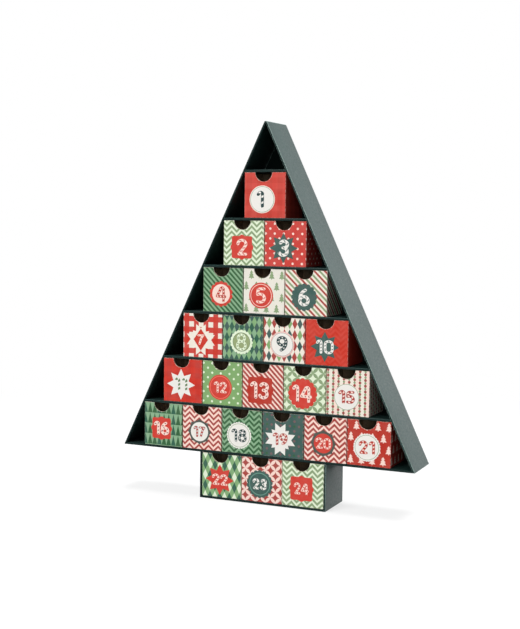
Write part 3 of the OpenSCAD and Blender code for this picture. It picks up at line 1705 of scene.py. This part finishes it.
    def _map(self, bm: BMesh) -> None:
        """Maps the print round the tray in millimetres, with 0 at the middle of the front's lower edge.

        Args:
            bm: The tray.
        """
        uv = bm.loops.layers.uv.new("wrap")
        size = self.high - self.low
        for face in bm.faces:
            side = face.calc_center_median().x - self.middle
            for loop in face.loops:
                across, back, up = loop.vert.co - Vector((self.middle, self.low.y, self.low.z))
                if face.normal.z < -0.7:
                    up = -back
                elif face.normal.y > 0.7:
                    across = size.x + size.y - across
                elif abs(face.normal.x) > 0.05 or back > self.fold:
                    across = math.copysign(abs(across) + back, side)
                loop[uv].uv = (across / MM, up / MM)

    def _tabs(self, bm: BMesh) -> None:
        """Adds the glued tabs that hold the rear corners together.

        Args:
            bm: The tray.
        """
        back = self.high.y - self.wall
        for side, wall_x in ((-1, self.low.x + self.wall), (1, self.high.x - self.wall)):
            corners = (Vector((wall_x, back - self.tab_width, self.low.z + self.wall)),
                       Vector((wall_x - side * self.tab_thickness, back, self.high.z - self.tab_drop)))
            low, high = (Vector(map(end, *corners)) for end in (min, max))
            faces = block(bm, low, high)
            slanted = [edge for edge in edges_of(faces) if rise_of(edge) < MM
                       and all(abs(vert.co.y - low.y) < TOUCH for vert in edge.verts)]
            for face in faces:
                face.material_index = TraySide.BARE
            fold_edges(bm, slanted, self.tab_drop, 1)
        bmesh.ops.recalc_face_normals(bm, faces=bm.faces)


def ringed(outline: Outline, ink: Ink, line: Ink, ring_size: float, width: float = 0.7) -> tuple[Plate, ...]:
    """Plates of a label with a thin ring: the shape, a disc in the ring's ink and a smaller disc."""
    return Plate(outline, ink), Plate(Outline(ring_size), line), Plate(Outline(ring_size - 2 * width), ink)


WHITE_ON_SLATE = CaneInk(Ink.WHITE, Ink.SLATE, 2.5, 4.6, 0.24, 0.9)
WHITE_ON_STAR = CaneInk(Ink.WHITE, Ink.SLATE, 1.3, 3.6, 0.3)
CREAM_ON_RED = CaneInk(Ink.BLUSH, Ink.WARM_RED, 2.3, 4.4, 0.26, 0.9)
SMALL_ON_RED = CaneInk(Ink.BLUSH, Ink.RED, 1.1, 3.4, 0.25)
MINT_ON_OLIVE = CaneInk(Ink.MINT, Ink.SAGE)
CANDY = CaneInk(Ink.BLUSH, Ink.WARM_RED, 1.45, 3.3, 0.4)
SPOTTED = CaneInk(Ink.BLUSH, Ink.WINE, 1.7, 4.2, 0.28)
NIGHT_ON_WHITE = CaneInk(Ink.NIGHT, Ink.WHITE, 2.3, 6.6, 0.36, start_mm=1.75)
SLATE_ON_CREAM = CaneInk(Ink.NIGHT, Ink.WHITE, 1.2, 3.8, 0.34)
BRICK_ON_CREAM = CaneInk(Ink.BRICK, Ink.BLUSH, 1.8, 4.0, 0.46)
BRICK_ON_WHITE = CaneInk(Ink.BRICK, Ink.WHITE, 1.3)
RED_ON_CREAM = CaneInk(Ink.DARK_RED, Ink.BLUSH, 1.7, 4.0)
FESTIVE = CaneInk(Ink.MYRTLE, Ink.WHITE, 2.4, 4.5, 0.4, start_mm=3.15)

DESIGNS = (
    Design(Slot.RED, Plaid(Ink.POPPY, Ink.DARK_RED, shift=(18.0, 29.1)),
           (Plate(Outline(30.6), Ink.BLUSH), *ringed(Outline(29.6), Ink.WHITE, Ink.SAGE, 28.6, 0.5)),
           Numeral(18.7, 8.8, NIGHT_ON_WHITE, 3.3, -2.2), -1.0),
    Design(Slot.CREAM, Chevrons(Ink.MINT, Ink.SAGE, 0.49, shift=(9.6, 5.2)),
           (Plate(Plaque(28), Ink.TOMATO),), Numeral(18.6, 13.3, CREAM_ON_RED)),
    Design(Slot.RED, Dots(Ink.WARM_RED, Ink.BLUSH, shift=(-1.84, 3.54)),
           (Plate(Star(33.6, 20.6), Ink.SLATE),), Numeral(19, 13.3, WHITE_ON_SLATE, 3.4)),
    Design(Slot.LEAF, Stripes(Ink.FERN, Ink.PINE, Ink.PINE, 3.16, 6.07, 1.02, shift=(3.5, 0.0)),
           (Plate(Scallops(29, 14), Ink.TOMATO), Plate(Outline(22), Ink.BLUSH)),
           Numeral(18.3, 13, RED_ON_CREAM)),
    Design(Slot.CREAM, Trees(Ink.IVORY, Ink.SAGE, 6.6, shift=(-2.92, 14.84)),
           ringed(Outline(29), Ink.TOMATO, Ink.BLUSH, 25.7), Numeral(18.7, 12, CREAM_ON_RED), -1.0),
    Design(Slot.CREAM, Stripes(Ink.CREAM, Ink.SAGE, Ink.BRICK, 3.1, 6.25, 0.96, shift=(4.75, 0.0)),
           (Plate(Scallops(30.4, 16), Ink.SLATE),), Numeral(19.8, 13.5, WHITE_ON_SLATE, 3.4)),
    Design(Slot.RED, Gingham(Ink.CREAM, Ink.WARM_RED, Ink.RED, 12.25, shift=(-1.91, 1.13)),
           (Plate(Burst(37.4), Ink.CREAM), Plate(Star(25.4, 18.2, 2), Ink.RED)),
           Numeral(12.4, 8.8, SMALL_ON_RED, 2.2)),
    Design(Slot.PINE, Harlequin((Ink.LEAF, Ink.FERN), (Ink.FOREST, Ink.SLATE), shift=(1.89, 18.99)),
           (Plate(Scallops(27.8, 20), Ink.MINT), Plate(Outline(21.4), Ink.PINE),
            Plate(Outline(20.6), Ink.OLIVE)),
           Numeral(19.4, 13, MINT_ON_OLIVE, 2.7), 0.7),
    Design(Slot.CREAM, DiamondColumns(Ink.CREAM, Ink.BRICK, (Ink.SLATE, Ink.MOSS), shift=(0.41, 6.85)),
           (*ringed(Outline(29), Ink.WHITE, Ink.CORAL, 28.2, 0.5),
            *ringed(Outline(26.2), Ink.WHITE, Ink.UMBER, 25.9, 0.35)),
           Numeral(18.7, 13.2, SLATE_ON_CREAM, 3.3)),
    Design(Slot.RED, Chevrons(Ink.RED, Ink.CORAL, strength=0.14, shift=(9.91, 1.34)),
           (Plate(Star(33.4, 20.6), Ink.SLATE),), Numeral(15.4, 20.6, WHITE_ON_STAR, 2.6, gap_share=0.09)),
    Design(Slot.RED, Plaid(Ink.SCARLET, Ink.WINE, strength=0.3, shift=(19.25, 31.6)),
           (Plate(Star(36, 21.4), Ink.WHITE),), Numeral(15.2, 16.4, FESTIVE, 2.4, gap_share=0.12)),
    Design(Slot.LEAF, Dots(Ink.MOSS, Ink.MINT, shift=(-1.66, 3.77)),
           ringed(Outline(29), Ink.TOMATO, Ink.CORAL, 26.4, 1.0), Numeral(12.8, 16.2, CANDY, 2.3)),
    Design(Slot.RED, Stripes(Ink.BLUSH, Ink.BRICK, Ink.BRICK, 3.35, 6.15, 0.99, shift=(5.44, 0.0)),
           (Plate(Plaque(32.4, 4.4), Ink.DARK_RED),), Numeral(19.5, 23, SPOTTED, 3.4, -0.8), -0.9),
    Design(Slot.CREAM, Petals(Ink.MINT, Ink.SAGE, shift=(9.7, 1.01)),
           (Plate(Scallops(34.6, 16), Ink.TOMATO),), Numeral(19, 23.2, SPOTTED, 3.4, -0.5)),
    Design(Slot.CREAM,
           BeadColumns(Ink.CREAM, Ink.BLUSH, Ink.RUST, Ink.SAGE, Ink.UMBER, shift=(1.58, -0.35)),
           ringed(Outline(28.8), Ink.WHITE, Ink.SAGE, 28.4, 0.5), Numeral(14.8, 19, BRICK_ON_CREAM), 1.0),
    Design(Slot.LEAF, Spires(Ink.FERN, Ink.PINE, Ink.FOREST, shift=(1.07, 0.96)),
           (Plate(Plaque(27.4), Ink.TOMATO),), Numeral(16, 20.3, SPOTTED, 3.3)),
    Design(Slot.RED, Chevrons(Ink.BLUSH, Ink.BRICK, 0.48, shift=(8.71, 3.63)),
           (Plate(Seal(30.4, 26.4), Ink.BARK), Plate(Outline(22), Ink.WHITE)),
           Numeral(12.8, 15, BRICK_ON_WHITE, 2.4), -0.9),
    Design(Slot.PINE, Chevrons(Ink.FERN, Ink.PINE, 0.52, shift=(9.0, 0.18)),
           ringed(Scallops(30.6, 28), Ink.WHITE, Ink.SAGE, 27, 0.5),
           Numeral(14.7, 19, SLATE_ON_CREAM, 2.6), -1.0),
    Design(Slot.SLATE, Dots(Ink.SLATE, Ink.HEATHER, 2.9, 10.98, 10.96, Ink.PINE, shift=(-2.6, 3.38)),
           (Plate(Burst(38), Ink.WHITE),), Numeral(14.3, 17.9, BRICK_ON_CREAM, 2.8), -0.9),
    Design(Slot.RED, Chevrons(Ink.BLUSH, Ink.BRICK, 0.52, shift=(10.55, 3.27)),
           (Plate(Seal(30.4, 27.2), Ink.BARK), Plate(Outline(21.8), Ink.TOMATO)),
           Numeral(12.3, 18, CANDY, 2.1)),
    Design(Slot.RED, Trees(Ink.DARK_RED, Ink.BLUSH, 6.9, 8.8, shift=(-2.12, 15.4)),
           ringed(Scallops(30.8, 32), Ink.WHITE, Ink.SAGE, 27.4, 0.5),
           Numeral(14.8, 18.5, RED_ON_CREAM, 2.8)),
    Design(Slot.LEAF, Harlequin((Ink.FOREST, Ink.MINT), (Ink.LEAF, Ink.LEAF), shift=(3.96, 12.62)),
           (Plate(Star(35.4, 22), Ink.TOMATO),), Numeral(13, 19.5, CANDY, 2.3)),
    Design(Slot.CREAM, Petals(Ink.BRICK, Ink.BLUSH, shift=(10.88, 0.38)),
           ringed(Scallops(32.2, 18), Ink.SLATE, Ink.TEAL, 25.8, 0.9),
           Numeral(12.8, 17.5, WHITE_ON_SLATE, 2.7)),
    Design(Slot.CREAM, Chevrons(Ink.MINT, Ink.SAGE, 0.52, shift=(11.25, 2.87)),
           (Plate(Plaque(29.4), Ink.TOMATO),), Numeral(13.3, 17.6, CANDY, 2.3), 0.6),
)


@dataclass(frozen=True)
class Lamp:
    """Square soft lamp, with its place in metres and its power in watts."""

    name: str
    place: tuple[float, float, float]
    size: float
    power: float

    def build(self, target: Vector) -> None:
        """Adds the lamp.

        Args:
            target: Point that it faces.
        """
        light = bpy.data.lights.new(self.name, "AREA")
        light.size = self.size
        light.energy = self.power
        lamp = bpy.data.objects.new(self.name, light)
        lamp.location = self.place
        lamp.rotation_euler = (target - lamp.location).to_track_quat("-Z", "Y").to_euler()
        bpy.context.scene.collection.objects.link(lamp)


@dataclass
class Studio:
    """White floor, soft lamps and the camera of a product shot. Angles are degrees."""

    image_height_px: int = 629
    focal_px: float = 1164.83
    sensor: float = 36.0
    azimuth: float = 23.9067
    pitch: float = 4.7572
    roll: float = 0.6736
    distance: float = 1.32551
    target: tuple[float, float, float] = (-0.0162516, 0.0, 0.2119805)
    floor_size: float = 12.0
    floor_level: float = 0.7
    floor_grain: float = 0.02
    bounce_level: float = 0.08
    floor_glow: float = 0.74
    glow_from: float = 0.25
    glow_to: float = 0.9
    low_ambient: float = 0.05
    high_ambient: float = 0.4
    lamps: tuple[Lamp, ...] = (
        Lamp("key_lamp", (-3.3, -8.24, 8.0), 6.0, 1560.0),
        Lamp("front_lamp", (0.97, -2.2, 0.5), 0.5, 2.8),
        Lamp("top_lamp", (1.85, 1.0, 9.8), 4.7, 1500.0),
        Lamp("rear_lamp", (1.1, 2.2, 0.88), 1.2, 3.8),
    )

    def build(self) -> None:
        """Sets the camera, the floor, the lamps and the surroundings."""
        self._camera()
        self._floor()
        for lamp in self.lamps:
            lamp.build(Vector(self.target))
        self._surroundings()
        bpy.context.scene.view_settings.view_transform = "Standard"

    def _camera(self) -> None:
        """Places the camera where the photograph was taken."""
        lens = bpy.data.cameras.new("camera")
        lens.sensor_width = self.sensor
        lens.lens = self.focal_px / self.image_height_px * self.sensor
        camera = bpy.data.objects.new("camera", lens)
        turn = Matrix.Rotation(math.radians(self.azimuth), 4, "Z")
        tilt = turn @ Matrix.Rotation(math.radians(90 - self.pitch), 4, "X")
        lean = Matrix.Rotation(math.radians(self.roll), 4, "Z")
        place = Vector(self.target) + tilt @ UP * self.distance
        camera.matrix_world = Matrix.Translation(place) @ tilt @ lean
        bpy.context.scene.collection.objects.link(camera)
        bpy.context.scene.camera = camera

    def _floor(self) -> None:
        """Makes the pale floor, which glows towards the camera and still takes the shadow."""
        bm = bmesh.new()
        bmesh.ops.create_grid(bm, x_segments=4, y_segments=4, size=self.floor_size / 2)
        mesh = bpy.data.meshes.new("floor")
        bm.to_mesh(mesh)
        bm.free()
        graph = Graph.of_material("floor_paper")
        where = graph.place()
        across, along, _ = graph.split(where)
        away = reach_of(across, along).ramp(self.glow_from / MM, self.glow_to / MM)
        grain = (graph.clouds(where, 120.0, 2) - 0.5) * self.floor_grain
        seen = graph.seen()
        level = self.bounce_level + seen * (self.floor_level - self.bounce_level) + grain
        colour = graph.node("ShaderNodeCombineColor", {}, {0: level, 1: level, 2: level})
        matt = graph.node("ShaderNodeBsdfDiffuse", {}, {"Color": colour})
        white = graph.node("ShaderNodeEmission", {}, {"Strength": 1.0})
        share = seen * (self.floor_glow + away * (1 - self.floor_glow))
        both = graph.node("ShaderNodeMixShader", {}, {0: share, 1: matt, 2: white})
        graph.node("ShaderNodeOutputMaterial", {}, {"Surface": both})
        mesh.materials.append(graph.owner)
        floor = bpy.data.objects.new("floor", mesh)
        bpy.context.scene.collection.objects.link(floor)

    def _surroundings(self) -> None:
        """White surroundings for the camera and for gloss, softer ones for the light on the tree."""
        world = bpy.data.worlds.new("surroundings")
        graph = Graph(world)
        _, _, rise = graph.split(graph.node("ShaderNodeTexCoord", output="Generated"))
        ambient = self.low_ambient + rise.ramp(0.3, 0.8) * (self.high_ambient - self.low_ambient)
        seen = graph.seen()
        strength = ambient * (1 - seen) + seen
        glow = graph.node("ShaderNodeBackground", {}, {"Color": (1, 1, 1, 1), "Strength": strength})
        graph.node("ShaderNodeOutputWorld", {}, {"Surface": glow})
        bpy.context.scene.world = world


def main() -> None:
    """Builds the studio, the case and the drawers with their labels, and reports each piece."""
    logging.basicConfig(level=logging.INFO, format="%(name)s: %(message)s")
    Studio().build()
    pieces = Case().build()
    for number, design in enumerate(DESIGNS, 1):
        pieces += Drawer(number, design).build()
    for piece in pieces:
        log.info("%s: %d faces", piece.name, len(piece.data.polygons))
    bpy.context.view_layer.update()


if __name__ == "__main__":
    main()
